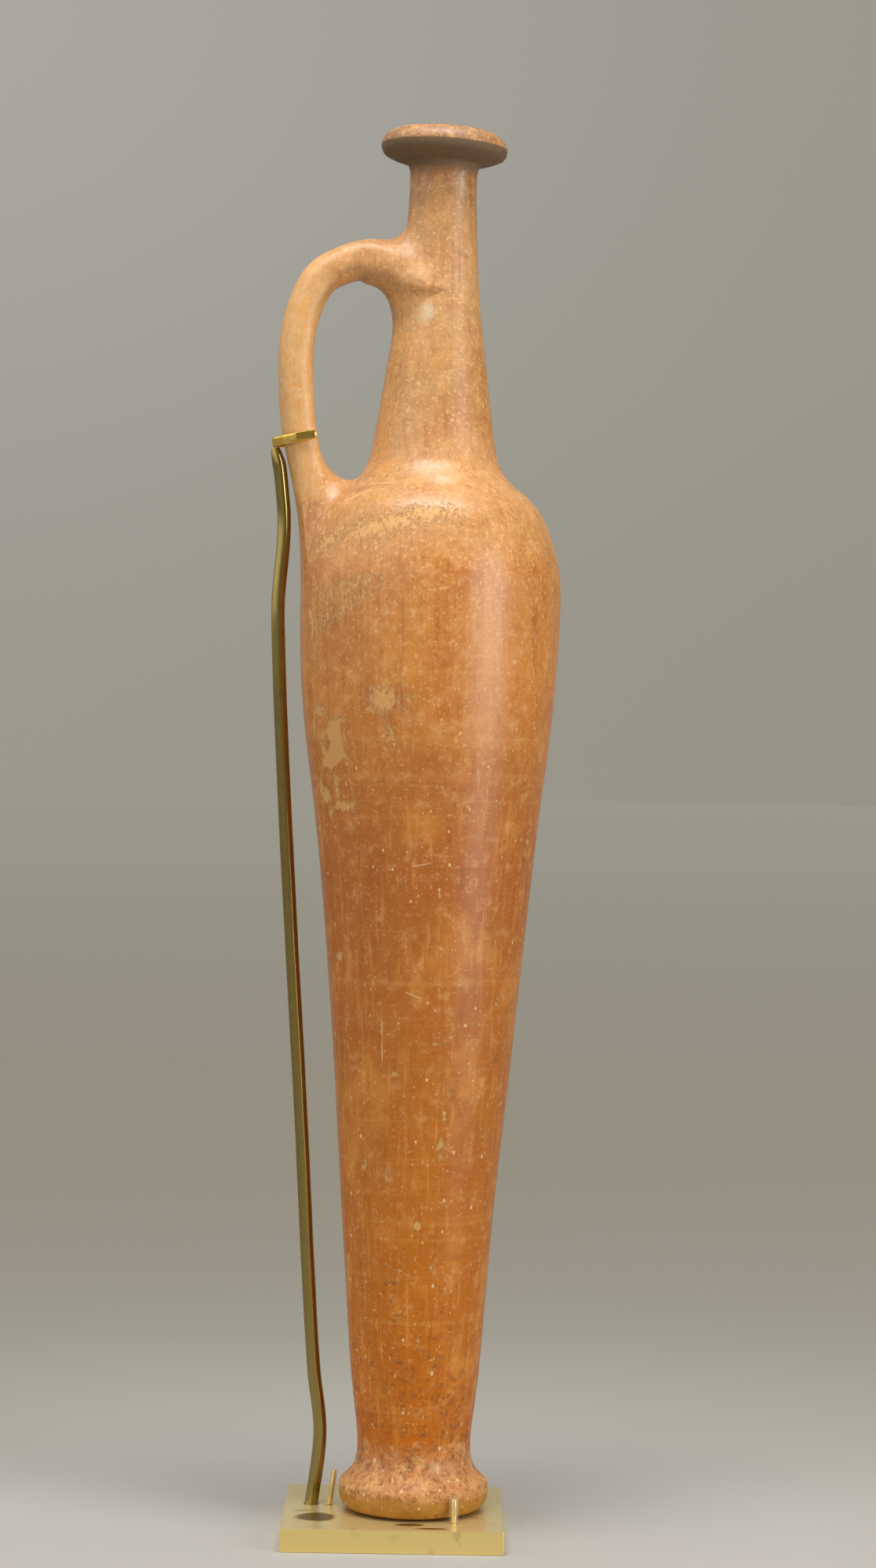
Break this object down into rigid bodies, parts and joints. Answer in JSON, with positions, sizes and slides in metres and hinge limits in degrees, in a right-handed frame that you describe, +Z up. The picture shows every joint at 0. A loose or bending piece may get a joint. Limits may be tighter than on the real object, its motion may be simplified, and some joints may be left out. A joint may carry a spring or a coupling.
{
  "type": "spindle bottle",
  "caption": "Tall narrow clay bottle with a strap handle and flanged rim, held upright on a square brass stand by a bent rod, a clip and foot pins.",
  "frame": {"origin": "middle of the base plate's underside, on the surface that the stand rests on", "axes": "+Z up along the bottle, the handle and rod towards -X, the front of the stand towards -Y"},
  "size_m": [0.1026, 0.0918, 0.4884],
  "materials": {
    "burnished_clay": "burnished red slip, worn",
    "polished_brass": "polished, lightly tarnished",
    "clear_sleeve": "clear flexible tube"
  },
  "bodies": {
    "root": {"bottle": "burnished_clay", "base_plate": "polished_brass", "upright_rod": "polished_brass", "handle_clip": "polished_brass", "foot_pin_front": "polished_brass", "foot_pin_left": "polished_brass", "foot_pin_back": "polished_brass", "pin_sleeve_front": "clear_sleeve", "pin_sleeve_left": "clear_sleeve", "pin_sleeve_back": "clear_sleeve"}
  },
  "joints": []
}
